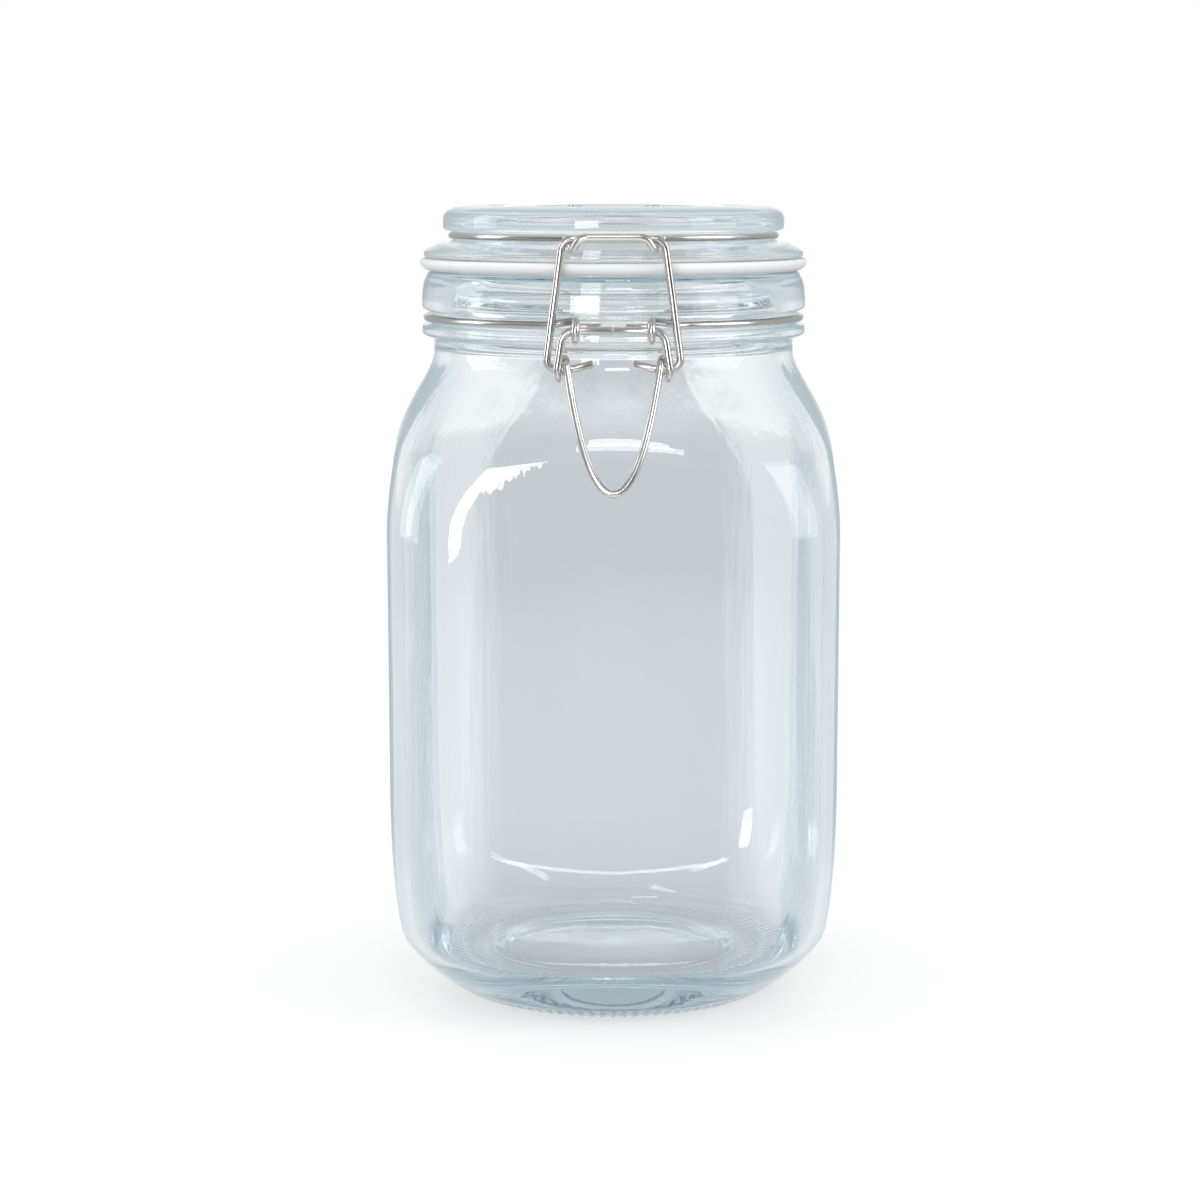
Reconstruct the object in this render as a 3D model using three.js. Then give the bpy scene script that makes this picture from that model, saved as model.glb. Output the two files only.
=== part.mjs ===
// Clip-top storage jar: a square glass body with a round neck, a glass lid on a soft sealing ring, and a
// closure bent from spring wire. Lengths are in millimetres. +Z is up and the front of the jar faces -Y.
// The origin is on the plane that the jar stands on, under the middle of the box that holds the jar.

import * as THREE from 'three';

// Wire of the closure, and the free space left between pieces
const wireRadius = 1.0;
const wireFit = 0.5;
const coilGap = 0.4;
const wireBend = 2;
const seatGap = 0.3;

// Mouth and neck of the glass body, from the bore outwards
const mouthHeight = 187.4;
const boreRadius = 42;
const neckWall = 4.3;
const lipWall = 6.1;
const lipRound = 1.2;
const collarBulge = 1.25;
const collarSide = 1;
const collarFootRise = 0.4;
const grooveRise = 0.4;
const grooveFit = 0.7;
const grooveFlare = 0.9;
const rimLedge = 3;
const rimDepth = 2.8;
const rimRound = 0.8;

// Shoulder, sides, heel and base of the glass body
const bodyWidth = 112.3;
const bodyCorner = 20;
const bodyWall = 3.8;
const neckFootRise = 1.4;
const shoulderDrop = 25.6;
const shoulderRise = 5.1;
const shoulderFall = 11.2;
const squareTopRise = 1.9;
const squareFullDrop = 16.8;
const heelTopHeight = 60;
const heelRise = 46;
const heelReach = 15.5;
const heelSquareHeight = 24;
const bearingOuterRadius = 35;
const bearingWidth = 3;
const pushUpHeight = 4.2;
const pushUpSlope = 3;
const floorThickness = 7.4;
const floorRadius = 40;
const floorDish = 0.8;

// Lid, from its plug outwards and upwards
const plugFit = 0.8;
const plugWall = 3.6;
const plugReach = 7.4;
const plugRound = 1.2;
const flangeOverhang = 0.7;
const flangeThickness = 2;
const flangeRound = 0.8;
const lidNeckLedge = 2.5;
const lidWireRise = 3.5;
const lidGrooveInset = 1;
const lidRimLedge = 2.35;
const lidRimSide = 2.8;
const lidRimFlare = 1.2;
const lidCrestRise = 7.6;
const lidCrestInset = 6.85;
const lidCrestWidth = 2.4;
const lidDishSlope = 2.6;
const lidDishDepth = 5.1;
const lidPanel = 4.6;

// Sealing ring
const gasketThickness = 3;
const gasketOverhang = 1.6;
const gasketRound = 0.8;
const gasketBevel = 1.9;

// Neck wire: the ring in the groove, an eyelet at each front end and the hinge bridge at the back
const neckWireDrop = 11.7;
const neckWireFrontX = 16.4;
const eyeletX = 9.0;
const eyeletLean = 0.2;
const eyeletDrop = 0.9;
const eyeletStandOff = 4.1;
const tailEndX = 3;
const tailBend = 1.5;
const bridgeSideFit = 1.3;
const bridgeFootSpread = 1;
const bridgeRootSpread = 2.5;
const bridgeFootStandOff = 2.3;
const hingeStandOff = 5.6;
const hingeRise = 0.6;

// Lid wire: the front bow, the hook on each side that the bail pulls on, and the arms at the back
const bowHalfWidth = 7.8;
const bowRise = 0.5;
const bowLean = 1.2;
const bowBend = 3;
const hookSpread = 2;
const hookFootDrop = 2.6;
const hookFootLength = 3.3;
const hookSlope = 2.8;
const hookNeckStandOff = 5.1;
const hookRootSpread = 1.2;
const hookRingSpread = 3;
const hookBend = 1.3;
const hookFit = 0.7;
const armX = 12.2;
const armRootSpread = 3.2;
const armBend = 3;

// Bail
const bailBarInset = 1.5;
const bailTopSpread = 2.4;
const bailTopBend = 3;
const bailFootSpread = 2.8;
const bailFootBend = 2.2;
const pinDrop = 9.3;
const pinInset = 2.4;
const pinBendInset = 1.6;
const pinEndX = 4.8;
const pinEndLift = 1.2;

// Lever
const leverTopSpread = 3.1;
const leverTopBend = 3.4;
const leverFootSpread = 1.5;
const leverLength = 30.9;
const leverTipStandOff = 3.96;
const leverBowX = 9.6;
const leverBowShare = 0.35;
const leverTipX = 6.2;
const leverButtGap = 0.1;

// Angles in degrees, and counts
const eyeletEntryAngle = 82;
const eyeletExitAngle = 375;
const tailBendAngle = 40;
const armSlopeAngle = 37;
const ringSegments = 48;
const wireSides = 8;
const bendStepAngle = 24;
const coilStepAngle = 30;
const ringStepAngle = 7.5;
const limbSteps = 13;

// Looks, as seen on the real jar
const glassColour = 0xd8e1e3;
const steelColour = 0xb9b7b2;
const ringColour = 0xe6eaea;

// Radii from the axis of the jar, and reaches forwards or backwards from it
const bodyHalf = bodyWidth / 2;
const neckRadius = boreRadius + neckWall;
const lipRadius = boreRadius + lipWall;
const collarRadius = lipRadius + collarBulge;
const lowerRimRadius = neckRadius + rimLedge;
const neckWireRadius = neckRadius + grooveRise + seatGap + wireRadius;
const plugRadius = boreRadius - plugFit;
const lidWireRadius = plugRadius - lidGrooveInset + seatGap + wireRadius;
const lidRimRadius = lidWireRadius + lidRimLedge;
const eyeletRadius = 2 * wireRadius + wireFit;
const eyeletReach = neckWireRadius + eyeletStandOff;
const pinReach = eyeletReach - pinInset;
const hookNeckReach = lidWireRadius + hookNeckStandOff;
const hookHeelReach = hookNeckReach + hookSlope;
const hookFootReach = hookHeelReach + hookFootLength;
const bridgeFootReach = neckWireRadius + bridgeFootStandOff;
const hingeReach = neckWireRadius + hingeStandOff;

// Heights, down from the mouth and up from it
const neckWireHeight = mouthHeight - neckWireDrop;
const eyeletHeight = neckWireHeight - eyeletDrop;
const pinHeight = eyeletHeight - pinDrop;
const neckFootHeight = pinHeight + neckFootRise;
const shoulderFootHeight = neckFootHeight - shoulderDrop;
const squareTopHeight = neckFootHeight + squareTopRise;
const squareFullHeight = shoulderFootHeight - squareFullDrop;
const floorHeight = pushUpHeight + floorThickness;
const hingeHeight = mouthHeight + hingeRise;
const gasketHeight = mouthHeight + seatGap;
const flangeHeight = gasketHeight + gasketThickness + seatGap;
const lidWireHeight = flangeHeight + flangeThickness + lidWireRise;
const lidHeight = lidWireHeight + lidCrestRise;
const lidDishHeight = lidHeight - lidDishDepth;
const hookFootHeight = lidWireHeight - hookFootDrop;
const bailBarHeight = hookFootHeight + 2 * wireRadius + hookFit;

// Distances from the middle plane, and the tilt of the handle that holds its tip off the body's front
const hookFootX = bowHalfWidth + hookSpread;
const hookRootX = hookFootX + hookRootSpread;
const bridgeHalfWidth = armX + wireBend + bridgeSideFit;
const bridgeFootHalfWidth = bridgeHalfWidth + bridgeFootSpread;
const coilPitch = 2 * wireRadius + coilGap;
const leverTopX = eyeletX + leverTopSpread;
const leverFootX = leverTopX + leverFootSpread;
const leverHandleX = leverFootX - coilPitch;
const leverTilt = Math.asin((bodyHalf + leverTipStandOff - pinReach) / Math.hypot(leverLength, eyeletRadius))
  - Math.atan2(eyeletRadius, leverLength);

const samePlace = 0.001;
const rad = THREE.MathUtils.degToRad;
const at = (across, height) => new THREE.Vector2(across, height);

// A rounded corner of a profile, from one point to another, drawn towards the corner point between them.
function rounded(from, corner, to, steps) {
  return new THREE.QuadraticBezierCurve(from, corner, to).getPoints(steps);
}

// A long sweep of a profile, which leaves and arrives along the two pull points.
function swept(from, pullFrom, pullTo, to, steps) {
  return new THREE.CubicBezierCurve(from, pullFrom, pullTo, to).getPoints(steps);
}

function withoutRepeats(profile) {
  return profile.filter((p, i) => i === 0 || p.distanceTo(profile[i - 1]) > samePlace);
}

// How square the body is at a height: 0 is round, as at the neck and the base, and 1 is fully square.
function squareness(height) {
  const below = 1 - THREE.MathUtils.smoothstep(height, squareFullHeight, squareTopHeight);
  const above = THREE.MathUtils.smoothstep(height, 0, heelSquareHeight);
  return below * above;
}

// A point on a rounded square. Half of each quarter turn of the angle runs along a flat side, and the
// other half goes round the corners.
function squarePoint(angle, half, corner) {
  const quarter = Math.PI / 2;
  const side = Math.round(angle / quarter) * quarter;
  const turn = angle - side;
  const flatPart = quarter / 4;
  const straight = half - Math.min(corner, half);
  const bend = Math.sign(turn) * Math.max(Math.abs(turn) - flatPart, 0) * 2;
  const alongShare = THREE.MathUtils.clamp(turn / flatPart, -1, 1);
  const radius = half - straight;
  const point = at(straight + radius * Math.cos(bend), straight * alongShare + radius * Math.sin(bend));
  return point.rotateAround(at(0, 0), side);
}

// One ring of the body: a blend of a circle and a rounded square with the same half width.
function bodyRing(half, height, corner) {
  const ring = [];
  for (let i = 0; i < ringSegments; i++) {
    const angle = (2 * Math.PI * i) / ringSegments;
    const circle = at(half * Math.cos(angle), half * Math.sin(angle));
    const point = circle.lerp(squarePoint(angle, half, corner), squareness(height));
    ring.push(new THREE.Vector3(point.x, point.y, height));
  }
  return ring;
}

// Skins a stack of rings and closes both ends in a point on the axis.
function loftedSolid(rings, firstPole, lastPole) {
  const count = ringSegments;
  const vertices = [firstPole, ...rings.flat(), lastPole];
  const faces = [];
  for (let i = 0; i < count; i++) {
    const next = (i + 1) % count;
    faces.push(0, 1 + i, 1 + next);
    for (let k = 0; k < rings.length - 1; k++) {
      const low = 1 + k * count;
      const high = low + count;
      faces.push(low + i, high + next, low + next, low + i, high + i, high + next);
    }
    const last = 1 + (rings.length - 1) * count;
    faces.push(last + next, last + i, vertices.length - 1);
  }
  const geometry = new THREE.BufferGeometry().setFromPoints(vertices);
  geometry.setIndex(faces);
  geometry.computeVertexNormals();
  return geometry;
}

// Outside of the neck, from the bore over the lip, the collar, the wire groove and the lower rim.
function neckProfile() {
  const grooveTop = neckWireHeight + wireRadius + grooveFit;
  const grooveBottom = neckWireHeight - wireRadius - grooveFit;
  const grooveRoot = neckRadius + grooveRise;
  const collarFoot = grooveTop + collarFootRise;
  const bulgeHeight = collarFoot + collarSide;
  const rimBottom = grooveBottom - rimDepth;
  return [
    ...rounded(at(boreRadius, mouthHeight - lipRound), at(boreRadius, mouthHeight),
      at(boreRadius + lipRound, mouthHeight), 3),
    ...rounded(at(lipRadius - lipRound, mouthHeight), at(lipRadius, mouthHeight),
      at(lipRadius, mouthHeight - lipRound), 3),
    ...rounded(at(lipRadius, mouthHeight - lipRound), at(collarRadius, mouthHeight - 2 * lipRound),
      at(collarRadius, bulgeHeight), 3),
    ...rounded(at(collarRadius, bulgeHeight), at(collarRadius, collarFoot),
      at(grooveRoot + grooveFlare, grooveTop), 2),
    at(grooveRoot, grooveTop - grooveFlare),
    at(grooveRoot, grooveBottom + grooveFlare),
    ...rounded(at(lowerRimRadius - rimRound, grooveBottom), at(lowerRimRadius, grooveBottom),
      at(lowerRimRadius, grooveBottom - rimRound), 2),
    ...rounded(at(lowerRimRadius, rimBottom + rimRound), at(lowerRimRadius, rimBottom),
      at(neckRadius, rimBottom - rimRound), 2),
  ];
}

// Outside of the body, from the foot of the neck over the shoulder and down the side to the heel.
function sideProfile() {
  return [
    ...swept(at(neckRadius, neckFootHeight), at(neckRadius, neckFootHeight - shoulderRise),
      at(bodyHalf, shoulderFootHeight + shoulderFall), at(bodyHalf, shoulderFootHeight), 9),
    at(bodyHalf, (shoulderFootHeight + squareFullHeight) / 2),
    at(bodyHalf, squareFullHeight),
    ...swept(at(bodyHalf, heelTopHeight), at(bodyHalf, heelTopHeight - heelRise),
      at(bearingOuterRadius + heelReach, 0), at(bearingOuterRadius, 0), 9),
  ];
}

// The flat ring that the jar stands on, and the hollow inside it.
function baseProfile() {
  const inner = bearingOuterRadius - bearingWidth;
  return [
    at(inner, 0),
    ...rounded(at(inner - pushUpSlope / 2, pushUpHeight / 2), at(inner - pushUpSlope, pushUpHeight),
      at(inner / 2, pushUpHeight), 3),
  ];
}

// Inside of the glass, from the middle of the floor up the wall to the bore.
function insideProfile() {
  const innerHalf = bodyHalf - bodyWall;
  return [
    at(floorRadius / 2, floorHeight - floorDish / 2),
    at(floorRadius, floorHeight),
    ...swept(at(floorRadius, floorHeight), at(floorRadius + heelReach / 2, floorHeight),
      at(innerHalf, heelTopHeight - heelRise), at(innerHalf, heelTopHeight), 7),
    at(innerHalf, squareFullHeight),
    at(innerHalf, (shoulderFootHeight + squareFullHeight) / 2),
    ...swept(at(innerHalf, shoulderFootHeight), at(innerHalf, shoulderFootHeight + shoulderFall - bodyWall),
      at(boreRadius, neckFootHeight - shoulderRise - bodyWall), at(boreRadius, neckFootHeight - bodyWall), 7),
  ];
}

function jarBody() {
  const outside = withoutRepeats([...neckProfile(), ...sideProfile(), ...baseProfile()]);
  const inside = withoutRepeats(insideProfile());
  const rings = [
    ...inside.map((p) => bodyRing(p.x, p.y, bodyCorner - bodyWall)),
    ...outside.map((p) => bodyRing(p.x, p.y, bodyCorner)),
  ];
  const floorMiddle = new THREE.Vector3(0, 0, floorHeight - floorDish);
  const baseMiddle = new THREE.Vector3(0, 0, pushUpHeight);
  return loftedSolid(rings, floorMiddle, baseMiddle);
}

// A turned piece: its profile is spun round Z.
function turned(profile) {
  const geometry = new THREE.LatheGeometry(withoutRepeats(profile), ringSegments);
  return geometry.rotateX(Math.PI / 2);
}

// Lid: a dished panel inside a rim, a groove for its wire, a flange, and a plug that enters the bore.
function lid() {
  const flangeRadius = lipRadius + flangeOverhang;
  const flangeTop = flangeHeight + flangeThickness;
  const grooveRoot = plugRadius - lidGrooveInset;
  const grooveTop = lidWireHeight + wireRadius + seatGap;
  const grooveBottom = lidWireHeight - wireRadius - seatGap;
  const plugBottom = mouthHeight - plugReach;
  const hollow = plugRadius - plugWall;
  const ceiling = lidDishHeight - lidPanel;
  const crest = lidRimRadius - lidCrestInset;
  const rimInner = crest - lidCrestWidth;
  const dish = rimInner - lidDishSlope;
  return turned([
    at(0, ceiling),
    ...rounded(at(hollow - plugRound, ceiling), at(hollow, ceiling), at(hollow, ceiling - plugRound), 2),
    ...rounded(at(hollow, plugBottom + plugRound), at(hollow + plugWall / 2, plugBottom - plugRound),
      at(plugRadius, plugBottom + plugRound), 4),
    at(plugRadius, flangeHeight),
    ...rounded(at(flangeRadius - flangeRound, flangeHeight), at(flangeRadius, flangeHeight),
      at(flangeRadius, flangeHeight + flangeRound), 2),
    ...rounded(at(flangeRadius, flangeTop - flangeRound), at(flangeRadius, flangeTop),
      at(plugRadius + lidNeckLedge, grooveBottom), 3),
    at(grooveRoot, grooveBottom),
    ...rounded(at(grooveRoot, grooveTop), at(lidRimRadius, grooveTop),
      at(lidRimRadius, grooveTop + lidRimFlare), 3),
    ...rounded(at(lidRimRadius, grooveTop + lidRimSide), at(lidRimRadius, lidHeight),
      at(crest, lidHeight), 3),
    ...rounded(at(crest, lidHeight), at(rimInner, lidHeight),
      at(rimInner - plugRound, lidHeight - plugRound), 2),
    ...rounded(at(dish + plugRound, lidDishHeight + plugRound), at(dish, lidDishHeight),
      at(dish - 2 * plugRound, lidDishHeight), 2),
    at(0, lidDishHeight),
  ]);
}

// Sealing ring: flat, with rounded edges, between the lip of the jar and the flange of the lid.
function gasket() {
  const outer = lipRadius + gasketOverhang;
  const inner = plugRadius + seatGap;
  const top = gasketHeight + gasketThickness;
  const profile = [
    at(outer - gasketBevel, gasketHeight),
    at(outer, gasketHeight + gasketBevel),
    ...rounded(at(outer, top - gasketRound), at(outer, top), at(outer - gasketRound, top), 2),
    at(inner, top),
    at(inner, gasketHeight),
  ];
  profile.push(profile[0].clone());
  return turned(profile);
}

// A place on a wire's centre line, with the radius that the wire is bent to there.
function bendAt(x, y, z, radius = 0) {
  return { place: new THREE.Vector3(x, y, z), radius };
}

// Points of the arc that rounds one corner of a wire.
function roundedBend(before, corner, after) {
  const back = before.place.clone().sub(corner.place).normalize();
  const ahead = after.place.clone().sub(corner.place).normalize();
  const turn = Math.PI - back.angleTo(ahead);
  const start = corner.place.clone().addScaledVector(back, corner.radius * Math.tan(turn / 2));
  const middle = back.clone().add(ahead).normalize();
  const centre = corner.place.clone().addScaledVector(middle, corner.radius / Math.cos(turn / 2));
  const axis = ahead.clone().cross(back).normalize();
  const arm = start.sub(centre);
  const steps = Math.ceil(turn / rad(bendStepAngle));
  return Array.from({ length: steps + 1 }, (_, k) =>
    arm.clone().applyAxisAngle(axis, (turn * k) / steps).add(centre));
}

// Centre line through a list of bends: sharp places stay as they are and the others are rounded.
function centreLine(bends) {
  return bends.flatMap((bend, i) =>
    bend.radius > 0 ? roundedBend(bends[i - 1], bend, bends[i + 1]) : [bend.place]);
}

// The same bends on the other side of the jar, in reverse order, so that a half becomes a whole wire.
function bothSides(half) {
  const mirrored = half.map(({ place, radius }) => bendAt(-place.x, place.y, place.z, radius));
  return [...half, ...mirrored.reverse()];
}

// A coil round an axis along X. Angles run from the back of the jar over the top to the front.
function coil(reach, height, startAngle, endAngle, startX, endX) {
  const steps = Math.ceil(Math.abs(endAngle - startAngle) / coilStepAngle);
  return Array.from({ length: steps + 1 }, (_, k) => {
    const angle = rad(startAngle + ((endAngle - startAngle) * k) / steps);
    const x = startX + ((endX - startX) * k) / steps;
    return bendAt(x, reach + eyeletRadius * Math.cos(angle), height + eyeletRadius * Math.sin(angle));
  });
}

// The left side of a level ring, from one place in front to one at the back, both given by their distance
// from the middle plane.
function ringSide(radius, height, frontX, backX) {
  const first = -Math.acos(-frontX / radius);
  const last = -2 * Math.PI + Math.acos(-backX / radius);
  const steps = Math.ceil((first - last) / rad(ringStepAngle));
  return Array.from({ length: steps + 1 }, (_, k) => {
    const angle = first + ((last - first) * k) / steps;
    return bendAt(radius * Math.cos(angle), radius * Math.sin(angle), height);
  });
}

// Where the straight run that leaves a ring at a place meets the line x = cornerX.
function offRing(radius, leaveX, cornerX, height, side, bend) {
  const leaveY = Math.sqrt(radius * radius - leaveX * leaveX);
  const cornerY = leaveY + ((leaveX - cornerX) * leaveX) / leaveY;
  return bendAt(-cornerX, side * cornerY, height, bend);
}

// The wire's centre line, straight from point to point. The direction at a point is the mean of the two
// runs that meet there, so a section keeps its width round a bend.
class WireLine extends THREE.Curve {
  constructor(points) {
    super();
    this.points = points;
  }

  getPoint(t, target = new THREE.Vector3()) {
    const last = this.points.length - 1;
    const i = Math.min(Math.floor(t * last), last - 1);
    return target.lerpVectors(this.points[i], this.points[i + 1], t * last - i);
  }

  getSpacedPoints() {
    return this.points;
  }

  getTangentAt(u, target = new THREE.Vector3()) {
    const last = this.points.length - 1;
    const i = Math.round(u * last);
    const before = this.points[Math.max(i - 1, 0)];
    const after = this.points[Math.min(i + 1, last)];
    return target.subVectors(after, before).normalize();
  }
}

// A wire: a round section carried along its centre line.
function wire(bends) {
  const points = withoutRepeats(centreLine(bends));
  const section = new THREE.Shape(Array.from({ length: wireSides }, (_, k) => {
    const angle = (2 * Math.PI * (k + 0.5)) / wireSides;
    return at(wireRadius * Math.cos(angle), wireRadius * Math.sin(angle));
  }));
  return new THREE.ExtrudeGeometry(section, { steps: points.length - 1, extrudePath: new WireLine(points) });
}

// Neck wire: the tail and eyelet at the left front, the ring in the groove, the bridge at the back, and
// the same again on the right.
function neckWire() {
  const tailAngle = rad(eyeletExitAngle);
  const tailX = eyeletX + eyeletLean;
  const tailY = -eyeletReach + eyeletRadius * Math.cos(tailAngle);
  const tailZ = eyeletHeight + eyeletRadius * Math.sin(tailAngle);
  const backX = bridgeFootHalfWidth + bridgeRootSpread;
  const half = [
    bendAt(-tailEndX, tailY, tailZ),
    bendAt(-tailX, tailY, tailZ, tailBend),
    ...coil(-eyeletReach, eyeletHeight, eyeletExitAngle - tailBendAngle, eyeletEntryAngle, -tailX, -eyeletX),
    ...ringSide(neckWireRadius, neckWireHeight, neckWireFrontX, backX),
    offRing(neckWireRadius, backX, bridgeFootHalfWidth, neckWireHeight, 1, wireBend),
    bendAt(-bridgeFootHalfWidth, bridgeFootReach, neckWireHeight, wireBend),
    bendAt(-bridgeHalfWidth, hingeReach, hingeHeight, wireBend),
  ];
  return wire(bothSides(half));
}

// Lid wire: half of the front bow with its hook, the ring in the lid's groove, and an arm that ends in a
// coil round the bridge.
function lidWire() {
  const slope = rad(armSlopeAngle);
  const coilTopAngle = 90 - armSlopeAngle;
  const tangentY = hingeReach + eyeletRadius * Math.sin(slope);
  const tangentZ = hingeHeight + eyeletRadius * Math.cos(slope);
  const kneeY = tangentY - (lidWireHeight - tangentZ) / Math.tan(slope);
  const innerX = armX - 2 * wireRadius - wireFit;
  const frontX = hookRootX + hookRingSpread;
  const backX = armX + armRootSpread;
  const half = [
    bendAt(-bowHalfWidth, -hookFootReach - bowLean, lidWireHeight + bowRise, bowBend),
    bendAt(-hookFootX, -hookFootReach, hookFootHeight, hookBend),
    bendAt(-hookFootX, -hookHeelReach, hookFootHeight, hookBend),
    bendAt(-hookRootX, -hookNeckReach, lidWireHeight, hookBend),
    offRing(lidWireRadius, frontX, hookRootX, lidWireHeight, -1, wireBend),
    ...ringSide(lidWireRadius, lidWireHeight, frontX, backX),
    offRing(lidWireRadius, backX, armX, lidWireHeight, 1, wireBend),
    bendAt(-armX, kneeY, lidWireHeight, armBend),
    ...coil(hingeReach, hingeHeight, coilTopAngle, coilTopAngle - 360, -armX, -innerX),
  ];
  return wire(bothSides(half.reverse()));
}

// Bail: a bar across the hook, two legs, and two pins that turn in the lever's coils.
function bail() {
  return wire(bothSides([
    bendAt(-pinEndX, -pinReach, pinHeight + pinEndLift),
    bendAt(-leverHandleX + pinBendInset, -pinReach, pinHeight, wireBend),
    bendAt(-leverFootX - bailFootSpread, -pinReach, pinHeight, bailFootBend),
    bendAt(-hookFootX - bailTopSpread, -hookHeelReach - bailBarInset, bailBarHeight, bailTopBend),
  ]));
}

// Lever: a bar through the eyelets, two legs, a coil round each pin of the bail, and a bowed V to pull.
// The ends of its wire butt together in the middle of the bar.
function lever() {
  const onHandle = (x, down) => new THREE.Vector3(x,
    -pinReach - eyeletRadius * Math.cos(leverTilt) - down * Math.sin(leverTilt),
    pinHeight + eyeletRadius * Math.sin(leverTilt) - down * Math.cos(leverTilt));
  const limb = new THREE.CubicBezierCurve3(onHandle(-leverHandleX, 0),
    onHandle(-leverBowX, leverLength * leverBowShare), onHandle(-leverTipX, leverLength),
    onHandle(0, leverLength));
  const lastAngle = 540 - THREE.MathUtils.radToDeg(leverTilt);
  const half = [
    bendAt(-leverButtGap / 2, -eyeletReach, eyeletHeight),
    bendAt(-leverTopX, -eyeletReach, eyeletHeight, leverTopBend),
    ...coil(-pinReach, pinHeight, 180, lastAngle, -leverFootX, -leverHandleX),
    ...limb.getSpacedPoints(limbSteps).slice(1).map((p) => bendAt(p.x, p.y, p.z)),
  ];
  return wire(bothSides(half));
}

const glass = () => new THREE.MeshStandardMaterial({ color: glassColour, roughness: 0.05, metalness: 0 });
const steel = () => new THREE.MeshStandardMaterial({ color: steelColour, roughness: 0.28, metalness: 1 });
const rubber = () => new THREE.MeshStandardMaterial({ color: ringColour, roughness: 0.5, metalness: 0 });

function piece(name, geometry, material) {
  const mesh = new THREE.Mesh(geometry, material);
  mesh.name = name;
  return mesh;
}

const jar = new THREE.Group();
jar.add(
  piece('jar_body', jarBody(), glass()),
  piece('neck_wire', neckWire(), steel()),
  piece('lid', lid(), glass()),
  piece('gasket', gasket(), rubber()),
  piece('lid_wire', lidWire(), steel()),
  piece('bail', bail(), steel()),
  piece('lever', lever(), steel()),
);

// The jar is moved until the middle of its box is over the origin. Its own axis then lies a little behind.
const outerBox = new THREE.Box3().setFromObject(jar);
jar.position.y = -(outerBox.min.y + outerBox.max.y) / 2;

export default jar;
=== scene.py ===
import math

import bpy
import numpy as np
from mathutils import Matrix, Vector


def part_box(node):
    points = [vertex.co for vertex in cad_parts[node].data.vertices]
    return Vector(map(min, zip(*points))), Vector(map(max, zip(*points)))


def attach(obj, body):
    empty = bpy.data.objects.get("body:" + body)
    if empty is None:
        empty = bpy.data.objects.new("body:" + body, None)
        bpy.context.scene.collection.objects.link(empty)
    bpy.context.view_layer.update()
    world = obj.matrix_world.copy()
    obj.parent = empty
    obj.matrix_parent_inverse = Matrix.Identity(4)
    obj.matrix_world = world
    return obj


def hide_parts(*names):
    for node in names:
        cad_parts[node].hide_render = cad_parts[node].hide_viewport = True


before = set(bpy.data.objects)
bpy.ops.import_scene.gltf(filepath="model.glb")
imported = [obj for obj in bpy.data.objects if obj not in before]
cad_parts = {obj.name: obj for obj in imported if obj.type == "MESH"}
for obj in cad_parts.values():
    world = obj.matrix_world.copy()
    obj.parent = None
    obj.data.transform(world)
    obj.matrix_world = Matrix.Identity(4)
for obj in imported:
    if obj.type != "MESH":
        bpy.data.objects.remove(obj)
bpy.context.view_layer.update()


# The camera
# A long lens stands in front of the jar and a little above it. Its height, distance and tilt are those
# that put the rim, the neck and the base where the photograph shows them. The jar's own axis lies a little
# behind the origin, in the middle of the glass body, and everything is placed from it.
body_low, body_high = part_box("jar_body")
axis_y = (body_low.y + body_high.y) / 2
photo_width = 1200
focal_pixels = 2746
axis_pixel = 613.5
camera_distance = 0.712
camera_height = 0.211
camera_tilt = math.radians(8.74)
sensor_width = 36

camera = bpy.data.objects.new("camera", bpy.data.cameras.new("camera"))
bpy.context.collection.objects.link(camera)
bpy.context.scene.camera = camera
camera.data.sensor_width = sensor_width
camera.data.lens = sensor_width * focal_pixels / photo_width
camera.data.shift_x = (photo_width / 2 - axis_pixel) / photo_width
camera.location = (0, axis_y - camera_distance, camera_height)
camera.rotation_euler = (math.pi / 2 - camera_tilt, 0, 0)
bpy.context.scene.view_settings.view_transform = "Standard"


# The studio
# A plain white floor, a little lit from below like a light table, runs back to a white surround. What the
# glass bends into view is a pale grey patch behind the jar, a paler strip on both sides of it, and darker
# flanks. The room behind the camera is darker, so that the glass and the steel have edges.
white, black = (1, 1, 1, 1), (0, 0, 0, 1)
floor_half = 60.0
floor_colour = (0.5, 0.5, 0.5, 1)
floor_glow = 0.55
floor_fade_start, floor_fade_end = 0.3, 0.9
patch_tone = 0.645
patch_colour = (0.94, 0.99, 1.035, 1)
patch_start, patch_end = 0.9, 8.0
patch_share_inner, patch_share_outer = 0.037, 0.062
behind_start, behind_end = 0.0, 0.9
side_tone, far_tone = 0.86, 1.09
flank_loss, flank_near_gain = 0.32, 0.24
flank_share_inner, flank_share_outer = 0.5, 0.85
flank_start, flank_end = 0.07, 0.25
overhead_loss = 0.25
overhead_start, overhead_end = 0.15, 0.55
mirror_loss = 0.52
mirror_share_inner, mirror_share_outer = 0.10, 0.35
room_through = (0.75, 0.79, 0.81, 1)
room_mirrored = (0.16, 0.105, 0.07, 1)
mirrored_low, mirrored_high = 0.04, 0.24
front_dark_start, front_dark_end = -0.5, -1.1
room_back, room_front = -0.95, 0.2
room_strength = 0.95
lamps = [  # name, place, place aimed at, width and height, power in watts
    ("key_soft", (-0.29, -0.95, 0.2), (0, 0, 0.16), (0.27, 0.36), 2.6),
    ("over_soft", (0.04, -0.85, 0.62), (0, 0, 0.16), (0.24, 0.12), 0.7),
    ("right_soft", (1.1, -0.40, 0.46), (0, 0, 0.12), (0.8, 0.88), 4.2),
    ("left_soft", (-1.2, 0.1, 0.45), (0, 0, 0.12), (0.5, 0.9), 3.0),
]


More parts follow.
